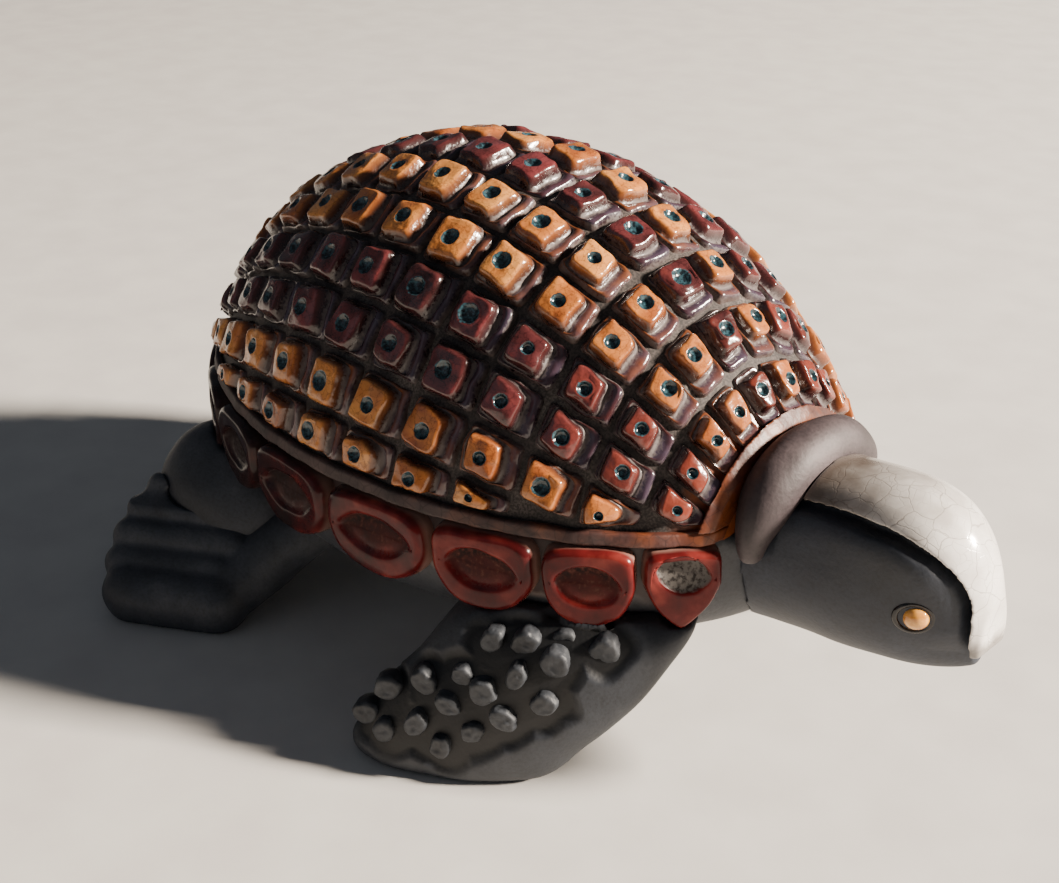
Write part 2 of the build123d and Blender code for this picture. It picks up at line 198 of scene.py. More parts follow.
# The run of red glaze: height above the table decides where it ends, and noise makes its edge wavy
heights = add_node(tree, "SeparateXYZ", sockets={0: place})
waves = add_node(tree, "TexNoise", sockets={"Vector": place, "Scale": 1 / (7 * MM), "Detail": 2.0})
wavy = add_node(tree, "Math", times_plus, {0: waves.outputs[0], 1: run_wave, 2: heights.outputs[2]})
run = add_node(tree, "MapRange", sockets={0: wavy.outputs[0], 1: run_edge[0], 2: run_edge[1]})
tide = add_node(tree, "MapRange", sockets={0: wavy.outputs[0], 1: tide_edge[0], 2: tide_edge[1]})
behind = add_node(tree, "MapRange", sockets={0: heights.outputs[0], 1: neck_root, 2: neck_root - neck_fade})
tide_here = add_node(tree, "Math", times, {0: tide.outputs[0], 1: behind.outputs[0]})
run_here = add_node(tree, "Math", times, {0: run.outputs[0], 1: behind.outputs[0]})
pale_edge = add_node(tree, "Mix", in_colour,
                     {0: tide_here.outputs[0], 6: bare.outputs[2], 7: linear("6C615D")})
red_run = add_node(tree, "Mix", in_colour,
                   {0: run_here.outputs[0], 6: pale_edge.outputs[2], 7: linear("33201F")})
join(tree, surface, {"Base Color": red_run.outputs[2]})

body = clay_skin("body_bowl", body_skin, 2)
knead(body, body_unevenness, body_marks, 3)
fix("body", body, body_clay, "smoked_clay", "body_bowl")

# Carapace: a hollow dome thrown or pressed over a form, its outside cut into a grid of grooves.
# The grooves hold no glaze: they are matt smoked clay, flecked grey with ash and black with soot,
# and along the front the amber glaze of the lip runs back over the clay.
front_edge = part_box("carapace_dome")[1].x
lip_from = front_edge - 3.4 * MM
lip_to = front_edge - 0.6 * MM
groove_corner = radians(35)
groove_clay, tree, surface, place, bare = smoked_clay(
    "groove_clay", "272120", "4A413E", "787069", 9 * MM, 5.0)
ash_grain = add_node(tree, "TexNoise", sockets={"Vector": place, "Scale": 1 / (0.35 * MM), "Detail": 2.0})
flecks = add_node(tree, "ValToRGB", sockets={0: ash_grain.outputs[0]},
                  stops=((0.42, "6A6664"), (0.6, "FFFFFF")))
ashy = add_node(tree, "Mix", multiplied, {0: 0.85, 6: bare.outputs[2], 7: flecks.outputs[0]})
along = add_node(tree, "SeparateXYZ", sockets={0: place})
blots = add_node(tree, "TexNoise", sockets={"Vector": place, "Scale": 1 / (5 * MM), "Detail": 3.0})
blotted = add_node(tree, "Math", times_plus, {0: blots.outputs[0], 1: 6 * MM, 2: along.outputs[0]})
ahead = add_node(tree, "MapRange", sockets={0: blotted.outputs[0], 1: lip_from, 2: lip_to})
lip_tint = add_node(tree, "ValToRGB", sockets={0: blots.outputs[0]},
                    stops=((0.35, "6A3018"), (0.65, "8E4E26")))
runs_back = add_node(tree, "Mix", in_colour,
                     {0: ahead.outputs[0], 6: ashy.outputs[2], 7: lip_tint.outputs[0]})
shine = add_node(tree, "MapRange", sockets={0: ahead.outputs[0], 3: 0.72, 4: 0.28})
join(tree, surface, {"Base Color": runs_back.outputs[2], "Roughness": shine.outputs[0]})

carapace = fix("carapace", cad_mesh("carapace_dome"), groove_clay, "groove_clay", "carapace_dome")
carapace.data.set_sharp_from_angle(angle=groove_corner)

# Scales: pads of clay on the dome, each cut square, stepped down towards the head and stamped with
# a round tool. The glazes lie row by row, glossy amber or darker russet; both burnt at the edges,
# darker down the flanks to the foot and pooled dark blue-green in the stamped dents. The violet
# sheen on the ledges is painted: a painted reflection of the sky.
points_round = 40
scale_marks = ("dent", "flank", "ledge", "tone")
dome_middle = Vector((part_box("carapace_dome")[0].x + 66 * MM, 0, 24 * MM))
scale_sink = 0.7 * MM
step_height = 0.75 * MM
strip_rise = 0.45 * MM
valley_depth = 0.3 * MM
low_scale = 1.5 * MM
ledge_width = 2.1 * MM
pad_play = 0.5 * MM
scale_height = 2.9 * MM
cut_unevenness = 0.4 * MM
cut_marks = 2.8 * MM
dent_radius = 1.75 * MM
dent_depth = 0.65 * MM
dent_unevenness = 0.1 * MM
dent_marks = 1.6 * MM
chance = Random(11)
# Without a seed of its own, the vector noise would change with the clock
noise.seed_set(11)


def islands(bm):
    """The separate solids of a bmesh: the faces of each, its corner points and their middle."""
    seen = set()
    for first in bm.faces:
        if first not in seen:
            seen.add(first)
            found = [first]
            for face in found:
                for edge in face.edges:
                    for other in edge.link_faces:
                        if other not in seen:
                            seen.add(other)
                            found.append(other)
            corners = [vert.co for vert in dict.fromkeys(vert for face in found for vert in face.verts)]
            yield found, corners, sum(corners, Vector()) / len(corners)


def scale_seats(node):
    """Outline, outward direction and height of each scale of a CAD row."""
    bm = cad_mesh(node)
    bmesh.ops.dissolve_limit(bm, angle_limit=radians(0.4), verts=bm.verts, edges=bm.edges)
    seats = []
    for faces, corners, middle in islands(bm):
        outward = (middle - dome_middle) * Vector((0.35, 1, 1))
        under = [face for face in faces if face.normal.dot(outward) < -0.8 * outward.length]
        seat = max(under, key=lambda face: face.calc_area())
        up = -seat.normal
        rise = max((corner - seat.verts[0].co).dot(up) for corner in corners)
        seats.append(([vert.co.copy() for vert in seat.verts], up, rise))
    bm.free()
    return sorted(seats, key=lambda seat: seat[0][0].x)


def even_outline(corners, up, rounds):
    """A polygon as evenly spaced points, started at the head side, with its corners rubbed round."""
    middle = sum(corners, Vector()) / len(corners)
    ahead = (Vector((1, 0, 0)) - up * up.x).normalized()
    across = up.cross(ahead)
    ordered = sorted(corners, key=lambda p: atan2((p - middle).dot(across), (p - middle).dot(ahead)))
    closed = ordered + ordered[:1]
    lengths = [(b - a).length for a, b in zip(closed, closed[1:])]
    steps = numpy.arange(points_round) / points_round * sum(lengths)
    ends = numpy.concatenate(([0], numpy.cumsum(lengths)))
    ring = numpy.transpose([numpy.interp(steps, ends, [p[axis] for p in closed]) for axis in range(3)])
    for _ in range(rounds):
        ring = ring * 0.5 + (numpy.roll(ring, 1, 0) + numpy.roll(ring, -1, 0)) * 0.25
    return [Vector(point) for point in ring], middle, ahead, across


def raise_rings(bm, rings, layers, own):
    """A low relief from outline to middle: a circle of edges, extruded ring by ring and closed.

    Each ring has points, and marks for all layers but the last, which takes the piece's own mark.
    """
    loop = bmesh.ops.create_circle(bm, segments=len(rings[0][0]), radius=1)["verts"]
    edges = list(dict.fromkeys(edge for vert in loop for edge in vert.link_edges))
    for number, (points, marks) in enumerate(rings):
        if number:
            grown = bmesh.ops.extrude_edge_only(bm, edges=edges)["geom"]
            edges = [item for item in grown
                     if isinstance(item, bmesh.types.BMEdge) and len(item.link_faces) == 1]
            inner = {vert for edge in edges for vert in edge.verts}
            loop = [next(edge.other_vert(vert) for edge in vert.link_edges
                         if edge.other_vert(vert) in inner) for vert in loop]
        for place, (vert, point) in enumerate(zip(loop, points)):
            vert.co = point
            for layer, mark in zip(layers, (*marks, own)):
                vert[layer] = mark[place] if isinstance(mark, list) else mark
    bmesh.ops.contextual_create(bm, geom=edges)


def scale(bm, layers, corners, up, rise):
    """One hand-cut scale on its seat."""
    outline, middle, ahead, across = even_outline(corners, up, 1)
    soft = even_outline(corners, up, 3)[0]
    tone = chance.random()
    lift = chance.uniform(-0.35, 0.3) * MM
    lean_ahead = chance.uniform(-0.1, 0.08)
    lean_across = chance.uniform(-0.1, 0.1)
    twist = chance.uniform(-0.12, 0.12)
    size = chance.uniform(0.92, 1.05)
    reach = max((p - middle).dot(ahead) for p in soft)
    whole = reach - min((p - middle).dot(ahead) for p in soft)
    headward = [max(0.0, (p - middle).dot(ahead) / reach) ** 2 for p in outline]

    def at(ring, share, height, shift=0.0, draw=0.0, crest=0.0):
        """A ring drawn in to a share of its size, more so at the head side, lifted, leaned and uneven."""
        points = []
        for p, head in zip(ring, headward):
            local = (p - middle) * (share - draw * head)
            lean = lean_ahead * local.dot(ahead) + lean_across * local.dot(across)
            point = middle + local + ahead * shift + up * (height + crest * head + lean)
            points.append(point + noise.noise_vector(point / cut_marks) * cut_unevenness)
        return points

    rings = [
        (at(outline, 1.08, -scale_sink), (0.0, 1.0, 0.0)),
        (at(outline, 1.05, 0.0), (0.0, 1.0, 0.0)),
        (at(outline, 1.0, step_height * 0.7, crest=strip_rise * 0.6), (0.0, 0.9, headward)),
        (at(outline, 0.96, step_height, draw=0.01, crest=strip_rise), (0.0, 0.6, headward)),
    ]
    if rise < low_scale:
        rings.append((at(soft, 0.6, step_height * 1.25), (0.0, 0.3, 0.0)))
        rings.append((at(soft, 0.25, step_height * 1.35), (0.0, 0.25, 0.0)))
        raise_rings(bm, rings, layers, tone)
        return
    length_share = (whole - ledge_width - pad_play) / whole
    shift = (pad_play / 2 - ledge_width) / 2

    def pad(share, height):
        """A ring of the raised pad, which stands back from the head side."""
        shaped = []
        for p in soft:
            local = p - middle
            run = local.dot(ahead) * length_share
            side = local.dot(across) * 0.95
            turned = ahead * (run - twist * side) + across * (side + twist * run)
            shaped.append(middle + turned * size)
        return at(shaped, share, height, shift)

    inner_edge = at(outline, 0.94, step_height, draw=0.15, crest=strip_rise * 0.9)
    foot = pad(1.0, step_height)
    valley = [a.lerp(b, 0.65) - up * valley_depth * head for a, b, head in zip(inner_edge, foot, headward)]
    top = scale_height + lift
    rings += [
        (inner_edge, (0.0, 0.6, headward)),
        (valley, (0.0, 1.0, headward)),
        (foot, (0.0, 1.0, 0.0)),
        (pad(0.93, step_height + 0.4 * (top - step_height)), (0.0, 0.75, 0.0)),
        (pad(0.86, step_height + 0.78 * (top - step_height)), (0.0, 0.42, 0.0)),
        (pad(0.79, step_height + 0.95 * (top - step_height)), (0.0, 0.12, 0.0)),
        (pad(0.71, top), (0.0, 0.0, 0.0)),
    ]
    stamp = min(dent_radius, 0.5 * min((p - middle).length for p in foot))
    stamp *= chance.uniform(0.9, 1.08)
    stray_ahead = chance.uniform(-0.3, 0.3) * MM
    stray_across = chance.uniform(-0.3, 0.3) * MM
    dent_at = middle + ahead * (shift + stray_ahead) + across * stray_across + up * lean_ahead * shift
    stretch = chance.uniform(0.85, 1.15)

    def dent(radius, height):
        """A ring of the stamped dent."""
        points = []
        for p in soft:
            local = p - middle
            flat = ahead * local.dot(ahead) * stretch + across * local.dot(across)
            point = dent_at + flat.normalized() * radius + up * height
            points.append(point + noise.noise_vector(point / dent_marks) * dent_unevenness)
        return points

    rings += [
        (dent(stamp * 1.45, top + 0.04 * MM), (0.0, 0.0, 0.0)),
        (dent(stamp * 1.22, top + 0.1 * MM), (0.15, 0.0, 0.0)),
        (dent(stamp * 1.08, top + 0.12 * MM), (0.4, 0.0, 0.0)),
        (dent(stamp * 0.92, top - 0.04 * MM), (0.75, 0.0, 0.0)),
        (dent(stamp * 0.75, top - dent_depth * 0.65), (1.0, 0.0, 0.0)),
        (dent(stamp * 0.45, top - dent_depth), (1.0, 0.0, 0.0)),
        (dent(stamp * 0.15, top - dent_depth), (1.0, 0.0, 0.0)),
    ]
    raise_rings(bm, rings, layers, tone)


def raku_glaze(name, thin, middle, thick, burnt, flank, dent, turned, gloss, seed):
    """Raku glaze over a scale: pooled colour, fine crackle, burnt edges, flanks darker to the foot, a
    painted violet sky reflection on the ledge, a dark dent.
    """
    material, tree, surface, place = new_material(name)
    moved = add_node(tree, "Mapping", sockets={"Vector": place, "Location": (seed, seed, seed)}).outputs[0]
    pools = add_node(tree, "TexNoise", sockets={"Vector": moved, "Scale": 1 / (4.5 * MM), "Detail": 4.0})
    fine = add_node(tree, "TexNoise", sockets={"Vector": moved, "Scale": 1 / (0.55 * MM), "Detail": 3.0})
    in_dent, on_flank, on_ledge, tone = (
        add_node(tree, "Attribute", {"attribute_name": mark}).outputs["Fac"] for mark in scale_marks)
    depth = add_node(tree, "Math", times_plus, {0: tone, 1: 0.3, 2: pools.outputs[0]})
    colour = add_node(tree, "ValToRGB", sockets={0: depth.outputs[0]},
                      stops=((0.4, thick), (0.62, middle), (0.88, thin)))
    # Crackle of the glaze, about 1.7 mm from line to line, with a little wander in its lines
    wander = add_node(tree, "Mix", bent_by, {0: 0.6 * MM, 6: moved, 7: fine.outputs[1]})
    cracks = add_node(tree, "TexVoronoi", cell_edges,
                      {"Vector": wander.outputs[2], "Scale": 1 / (1.7 * MM)})
    lines = add_node(tree, "MapRange", sockets={0: cracks.outputs[0], 1: 0.0, 2: 0.06, 3: 0.5, 4: 0.0})
    crazed = add_node(tree, "Mix", multiplied,
                      {0: lines.outputs[0], 6: colour.outputs[0], 7: linear("4A2A1C")})
    speckle = add_node(tree, "MapRange", sockets={0: fine.outputs[0], 1: 0.6, 2: 0.72, 3: 0.0, 4: 0.4})
    specked = add_node(tree, "Mix", multiplied,
                       {0: speckle.outputs[0], 6: crazed.outputs[2], 7: linear("5A4038")})
    # Scales towards the head took the other glaze's colour in places
    along = add_node(tree, "SeparateXYZ", sockets={0: place})
    mixed = add_node(tree, "Math", times_plus, {0: depth.outputs[0], 1: 50 * MM, 2: along.outputs[0]})
    turning = add_node(tree, "MapRange",
                       sockets={0: mixed.outputs[0], 1: 56 * MM, 2: 80 * MM, 3: 0.0, 4: 0.6})
    tinted = add_node(tree, "Mix", in_colour,
                      {0: turning.outputs[0], 6: specked.outputs[2], 7: linear(turned)})
    # From the top down: a burnt edge, then a flank that grows darker towards its foot, then ash dust caught
    # at the foot
    uneven = add_node(tree, "Math", times_plus, {0: pools.outputs[0], 1: 0.6, 2: -0.3})
    lower = add_node(tree, "Math", {"operation": "ADD"}, {0: on_flank, 1: uneven.outputs[0]})
    edge = add_node(tree, "MapRange", sockets={0: lower.outputs[0], 1: 0.12, 2: 0.5, 3: 0.0, 4: 0.85})
    scorched = add_node(tree, "Mix", in_colour,
                        {0: edge.outputs[0], 6: tinted.outputs[2], 7: linear(burnt)})
    foot_darkening = add_node(tree, "MapRange", sockets={0: lower.outputs[0], 1: 0.5, 2: 0.85, 3: 0.0, 4: 0.9})
    darker_foot = add_node(tree, "Mix", in_colour,
                      {0: foot_darkening.outputs[0], 6: scorched.outputs[2], 7: linear(flank)})
    # Painted reflection: a violet sheen of the sky painted in patches on the ledge
    sheen_patches = add_node(tree, "Math", times, {0: on_ledge, 1: pools.outputs[0]})
    painted_sheen = add_node(tree, "MapRange", sockets={0: sheen_patches.outputs[0], 1: 0.2, 2: 0.6, 3: 0.0, 4: 0.55})
    with_painted_sheen = add_node(tree, "Mix", in_colour,
                       {0: painted_sheen.outputs[0], 6: darker_foot.outputs[2], 7: linear("3E3A4C")})
    drift = add_node(tree, "Math", times_plus, {0: fine.outputs[0], 1: 0.8, 2: lower.outputs[0]})
    dust = add_node(tree, "MapRange", sockets={0: drift.outputs[0], 1: 1.18, 2: 1.5, 3: 0.0, 4: 0.8})
    dusted = add_node(tree, "Mix", in_colour,
                      {0: dust.outputs[0], 6: with_painted_sheen.outputs[2], 7: linear("5C5351")})
    # The dark glaze in the dent, with a ragged edge
    ragged = add_node(tree, "Math", times_plus, {0: fine.outputs[0], 1: 0.7, 2: in_dent})
    pool = add_node(tree, "MapRange", sockets={0: ragged.outputs[0], 1: 0.72, 2: 0.86})
    pool_colour = add_node(tree, "ValToRGB", sockets={0: fine.outputs[0]},
                           stops=((0.42, dent), (0.7, "34545E")))
    pooled = add_node(tree, "Mix", in_colour,
                      {0: pool.outputs[0], 6: dusted.outputs[2], 7: pool_colour.outputs[0]})
    rough = add_node(tree, "MapRange", sockets={0: dust.outputs[0], 1: 0.0, 2: 0.75, 3: gloss, 4: 0.7})
    glassy = add_node(tree, "MapRange", sockets={0: dust.outputs[0], 1: 0.0, 2: 0.8, 3: 0.3, 4: 0.0})
    waviness = add_node(tree, "TexNoise", sockets={"Vector": moved, "Scale": 1 / (2.2 * MM), "Detail": 2.0})
    relief = add_node(tree, "Math", times_plus, {0: fine.outputs[0], 1: 0.25, 2: waviness.outputs[0]})
    bump = add_node(tree, "Bump",
                    sockets={"Strength": 0.35, "Distance": 0.4 * MM, "Height": relief.outputs[0]})
    join(tree, surface, {"Base Color": pooled.outputs[2], "Roughness": rough.outputs[0],
                         "Normal": bump.outputs[0], "Coat Weight": glassy.outputs[0],
                         "Coat Roughness": 0.12})
    return material


amber_glaze = raku_glaze(
    "amber_raku_glaze", thin="CB8B49", middle="B06C33", thick="8A4B24", burnt="62351E",
    flank="352522", dent="122026", turned="8E4528", gloss=0.2, seed=1.0)
russet_glaze = raku_glaze(
    "russet_raku_glaze", thin="662E30", middle="4D2324", thick="351A1B", burnt="331918",
    flank="281E21", dent="10181E", turned="7C3824", gloss=0.22, seed=7.0)
amber_rows = {"right": (2, 3, 6, 7), "left": (1, 4, 5)}
for side in ("right", "left"):
    for row in range(1, 8):
        node = f"{side}_scale_row_{row}"
        bm = bmesh.new()
        layers = [bm.verts.layers.float.new(mark) for mark in scale_marks]
        for seat in scale_seats(node):
            scale(bm, layers, *seat)
        bmesh.ops.recalc_face_normals(bm, faces=bm.faces)
        is_amber = row in amber_rows[side]
        fix(f"{side}_scales_{row}", bm, amber_glaze if is_amber else russet_glaze,
            "amber_glaze" if is_amber else "russet_glaze", node)

# Rim band and front lip: a strip of clay along the foot of the dome and the bare edge of the arch,
# brushed with amber glaze that is orange and smoother at the front and dulled by ash to the back.
strip_skin = 0.3 * MM
strip_unevenness = 0.25 * MM
strip_marks = 4 * MM
rim_glaze, tree, surface, place = new_material("ash_dulled_amber_glaze")
blots = add_node(tree, "TexNoise", sockets={"Vector": place, "Scale": 1 / (5 * MM), "Detail": 4.0})
fine = add_node(tree, "TexNoise", sockets={"Vector": place, "Scale": 1 / (0.9 * MM), "Detail": 3.0})
along = add_node(tree, "SeparateXYZ", sockets={0: place})
blotted = add_node(tree, "Math", times_plus, {0: blots.outputs[0], 1: 60 * MM, 2: along.outputs[0]})
ahead = add_node(tree, "MapRange", sockets={0: blotted.outputs[0], 1: 45 * MM, 2: 78 * MM})
orange = add_node(tree, "ValToRGB", sockets={0: blots.outputs[0]},
                  stops=((0.35, "4A1D10"), (0.65, "6E3818")))
ash = add_node(tree, "ValToRGB", sockets={0: blots.outputs[0]},
               stops=((0.35, "2A2020"), (0.68, "4A3A38")))
banded = add_node(tree, "Mix", in_colour, {0: ahead.outputs[0], 6: ash.outputs[0], 7: orange.outputs[0]})
cracks = add_node(tree, "TexVoronoi", cell_edges, {"Vector": place, "Scale": 1 / (2.2 * MM)})
lines = add_node(tree, "MapRange", sockets={0: cracks.outputs[0], 1: 0.0, 2: 0.06, 3: 0.5, 4: 0.0})
crazed = add_node(tree, "Mix", multiplied, {0: lines.outputs[0], 6: banded.outputs[2], 7: linear("5A3A28")})
shine = add_node(tree, "MapRange", sockets={0: ahead.outputs[0], 3: 0.65, 4: 0.45})
bump = add_node(tree, "Bump", sockets={"Strength": 0.3, "Distance": 0.3 * MM, "Height": fine.outputs[0]})
join(tree, surface, {"Base Color": crazed.outputs[2], "Roughness": shine.outputs[0],
                     "Normal": bump.outputs[0]})
for node, name in (("carapace_edge_band", "rim_band"), ("carapace_front_lip", "front_lip")):
    strip = clay_skin(node, strip_skin, 3)
    knead(strip, strip_unevenness, strip_marks, 8)
    fix(name, strip, rim_glaze, "amber_glaze", node)

# Marginal scutes: shield-shaped pads luted to the body wall under the rim, each with an almond
# pressed into its face. Glossy red glaze covers the raised edge and breaks pale where it ends; the
# almond was wiped, so its floor is bare and speckled, ash grey in the scute nearest the head.
scute_points = 56
shield_marks = ("dent", "flank", "ash")
scute_sink = 6.5 * MM
scute_raise = 1.1 * MM
scute_spread = 0.8 * MM
scute_unevenness = 0.25 * MM
scute_marks = 4 * MM
body_middle = Vector((-15 * MM, 0, 0))
# Ash on the floor, squareness of the top, roundness of the point; the almond's reach, rise and drop
front_scute = (1.0, 6.0, 1.35, (0.7, 0.46, -0.44))
side_scute = (0.0, 4.0, 2.2, (0.7, 0.5, -0.08))
rear_scute = (0.0, 2.4, 2.0, (0.68, 0.62, -0.1))


def scute_faces(node):
    """Top middle, outward direction, width and height of each CAD scute, from the head back."""
    bm = cad_mesh(node)
    found = []
    for faces, corners, middle in islands(bm):
        outward = middle - body_middle
        outward.z = 0
        areas = {}
        for face in faces:
            normal = face.normal
            if abs(normal.z) < 0.05 and normal.dot(outward) > 0:
                key = (round(normal.x, 2), round(normal.y, 2))
                areas[key] = areas.get(key, 0) + face.calc_area()
        out = Vector((*max(areas, key=areas.get), 0)).normalized()
        sideways = Vector((0, 0, 1)).cross(out)
        spread = [corner.dot(sideways) for corner in corners]
        levels = [corner.z for corner in corners]
        face_at = max(corner.dot(out) for corner in corners)
        top = out * face_at + sideways * (max(spread) + min(spread)) / 2 + Vector((0, 0, max(levels)))
        found.append((top, out, sideways, max(spread) - min(spread), max(levels) - min(levels)))
    bm.free()
    return sorted(found, key=lambda item: -item[0].x)


def scute(bm, layers, ash, square, point, almond_shares, top, out, sideways, width, height):
    """One shield with its pressed almond."""
    down = Vector((0, 0, -1))
    slant = chance.uniform(-0.1, 0.1)
    reach, rise, drop = almond_shares
    shield, almond, below = [], [], []
    for number in range(scute_points):
        turn = 2 * pi * number / scute_points
        x, y = cos(turn), sin(turn)
        power = point if y > 0 else square
        size = (abs(x) ** power + abs(y) ** power) ** (-1 / power)
        shield.append(Vector((x * size, -0.2 + (1.2 if y > 0 else 0.8) * y * size)))
        lens = abs(y) ** 1.3 * (1 if y > 0 else -1)
        almond.append(Vector((reach * x, drop + rise * lens + slant * x)))
        below.append((y + 1) / 2)

    def ring(share, almond_share, blend, depth, scoop=0.0):
        """A ring between the shield's outline and the almond's; the scoop is deepest at the top."""
        points = []
        for edge, inner, low in zip(shield, almond, below):
            middle = Vector((0, drop))
            flat = (edge * share).lerp(middle + (inner - middle) * almond_share, blend)
            point_here = top + sideways * flat.x * width / 2 + down * (flat.y + 1) * height / 2
            point_here += out * (depth - scoop * (1 - 0.6 * low))
            points.append(point_here + noise.noise_vector(point_here / scute_marks) * scute_unevenness)
        return points

    # More of the almond's floor is bare, and so darker, towards its top: partly the wiped speckled clay,
    # partly painted shade under the almond's upper edge
    bare = [max(ash, 1 - 0.5 * low) for low in below]
    rings = [
        (ring(1.0, 1.0, 0.0, -scute_sink), (0.0, 1.0)),
        (ring(1.0, 1.0, 0.0, -2.2 * MM), (0.0, 0.9)),
        (ring(0.985, 1.0, 0.0, -1.2 * MM), (0.0, 0.5)),
        (ring(0.95, 1.0, 0.0, -0.45 * MM), (0.0, 0.2)),
        (ring(0.9, 1.0, 0.0, -0.08 * MM), (0.0, 0.0)),
        (ring(0.84, 1.0, 0.0, 0.05 * MM), (0.0, 0.0)),
        (ring(0.84, 1.12, 0.45, 0.0), (0.0, 0.0)),
        (ring(0.84, 1.16, 0.85, 0.0), (0.0, 0.0)),
        (ring(0.84, 1.08, 1.0, 0.0), (0.15, 0.0)),
        (ring(0.84, 1.0, 1.0, 0.0, 0.5 * MM), ([0.6 * share for share in bare], 0.0)),
        (ring(0.84, 0.9, 1.0, 0.0, 1.5 * MM), (bare, 0.0)),
        (ring(0.84, 0.7, 1.0, 0.0, 1.9 * MM), (bare, 0.0)),
        (ring(0.84, 0.4, 1.0, -0.4 * MM, 1.2 * MM), (max(ash, 0.75), 0.0)),
        (ring(0.84, 0.1, 1.0, -0.9 * MM, 0.4 * MM), (max(ash, 0.75), 0.0)),
    ]
    raise_rings(bm, rings, layers, ash)


scute_glaze, tree, surface, place = new_material("red_scute_glaze")
pools = add_node(tree, "TexNoise", sockets={"Vector": place, "Scale": 1 / (5 * MM), "Detail": 4.0})
fine = add_node(tree, "TexNoise", sockets={"Vector": place, "Scale": 1 / (0.7 * MM), "Detail": 3.0})
in_almond, on_side, in_ash = (
    add_node(tree, "Attribute", {"attribute_name": mark}).outputs["Fac"] for mark in shield_marks)
red = add_node(tree, "ValToRGB", sockets={0: pools.outputs[0]},
               stops=((0.3, "3A0F11"), (0.52, "591818"), (0.72, "78302A")))
grit = add_node(tree, "ValToRGB", sockets={0: fine.outputs[0]},
                stops=((0.4, "1C1414"), (0.58, "43231F"), (0.75, "5E3B34")))
ash_grit = add_node(tree, "ValToRGB", sockets={0: fine.outputs[0]},
                    stops=((0.38, "2E2B2A"), (0.55, "625E5B")))
ashen = add_node(tree, "Mix", in_colour, {0: in_ash, 6: grit.outputs[0], 7: ash_grit.outputs[0]})
gritty = add_node(tree, "Math", times_plus, {0: fine.outputs[0], 1: 0.6, 2: in_almond})
wiped = add_node(tree, "MapRange", sockets={0: gritty.outputs[0], 1: 0.75, 2: 1.15})
floor_seen = add_node(tree, "Mix", in_colour, {0: wiped.outputs[0], 6: red.outputs[0], 7: ashen.outputs[2]})
edge_of_glaze = add_node(tree, "MapRange", sockets={0: on_side, 1: 0.4, 2: 0.85})
sided = add_node(tree, "Mix", in_colour,
                 {0: edge_of_glaze.outputs[0], 6: floor_seen.outputs[2], 7: linear("8A6A60")})
# Towards the tail the glaze is darker: partly smoke, partly painted shade
along = add_node(tree, "SeparateXYZ", sockets={0: place})
blotted = add_node(tree, "Math", times_plus, {0: pools.outputs[0], 1: 40 * MM, 2: along.outputs[0]})
tail_smoke_and_shade = add_node(tree, "MapRange",
                    sockets={0: blotted.outputs[0], 1: 28 * MM, 2: -12 * MM, 3: 0.0, 4: 0.93})
darkened = add_node(tree, "Mix", in_colour,
                    {0: tail_smoke_and_shade.outputs[0], 6: sided.outputs[2], 7: linear("1E1718")})
rough = add_node(tree, "MapRange", sockets={0: wiped.outputs[0], 3: 0.22, 4: 0.8})
glassy = add_node(tree, "MapRange", sockets={0: wiped.outputs[0], 3: 0.06, 4: 0.0})
bump = add_node(tree, "Bump", sockets={"Strength": 0.25, "Distance": 0.3 * MM, "Height": pools.outputs[0]})
join(tree, surface, {"Base Color": darkened.outputs[2], "Roughness": rough.outputs[0],
                     "Normal": bump.outputs[0], "Coat Weight": glassy.outputs[0], "Coat Roughness": 0.1,
                     "Specular IOR Level": 0.16})
for side in ("right", "left"):
    bm = bmesh.new()
    layers = [bm.verts.layers.float.new(mark) for mark in shield_marks]
    places = scute_faces(f"{side}_marginal_scutes")
    kinds = [front_scute] + [side_scute] * (len(places) - 3) + [rear_scute] * 2
    for kind, (top, out, sideways, width, height) in zip(kinds, places):
        raised = top + Vector((0, 0, scute_raise))
        scute(bm, layers, *kind, raised, out, sideways, width + scute_spread, height + scute_raise)
    bmesh.ops.recalc_face_normals(bm, faces=bm.faces)
    fix(f"{side}_scutes", bm, scute_glaze, "scute_glaze", f"{side}_marginal_scutes")

# Neck and head: one pulled lump of clay, smoothed with a rib and left bare, so that it is blue-grey
# to black from the smoke. A groove was cut along the line where the crown begins, and the cheek
# stands up again below it in a low ridge.
head_length = 36.7 * MM
head_height = 30.0 * MM
head_skin = 0.45 * MM
head_unevenness = 0.3 * MM
head_marks = 9 * MM
groove_at = 0.5 * MM
groove_width = 0.7 * MM
groove_start = 0.2 * MM
groove_gain = 0.7 * MM
groove_opens = 20 * MM
ridge_at = 2.4 * MM
ridge_above = 0.9 * MM
ridge_below = 3.5 * MM
ridge_height = 1.0 * MM
eye_clearance = 4 * MM
chin_fade = 4 * MM
rim_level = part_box("carapace_dome")[0].z
eye_at = (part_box("right_eye_ring")[0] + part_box("right_eye_ring")[1]) / 2
# The crown's line in side view, in shares of the head from the shell's front edge and rim
crown_shares = ((0.18, 0.245), (0.5, 0.285), (0.69, 0.27), (0.84, 0.2), (0.94, 0.09), (0.985, -0.02),
                (1.0, -0.15), (1.01, -0.33))
crown_line = [Vector((front_edge + head_length * along, rim_level + head_height * up))
              for along, up in crown_shares]


def below_crown(point):
    """Distance from the crown's line in side view, positive on the cheek and negative under the crown."""
    flat = Vector((point.x, point.z))
    found = []
    for start, end in zip(crown_line, crown_line[1:]):
        along = end - start
        part = max(0.0, min(1.0, (flat - start).dot(along) / along.length_squared))
        away = flat - start - along * part
        found.append((away.length, -along.cross(away)))
    length, side = min(found)
    return length if side > 0 else -length


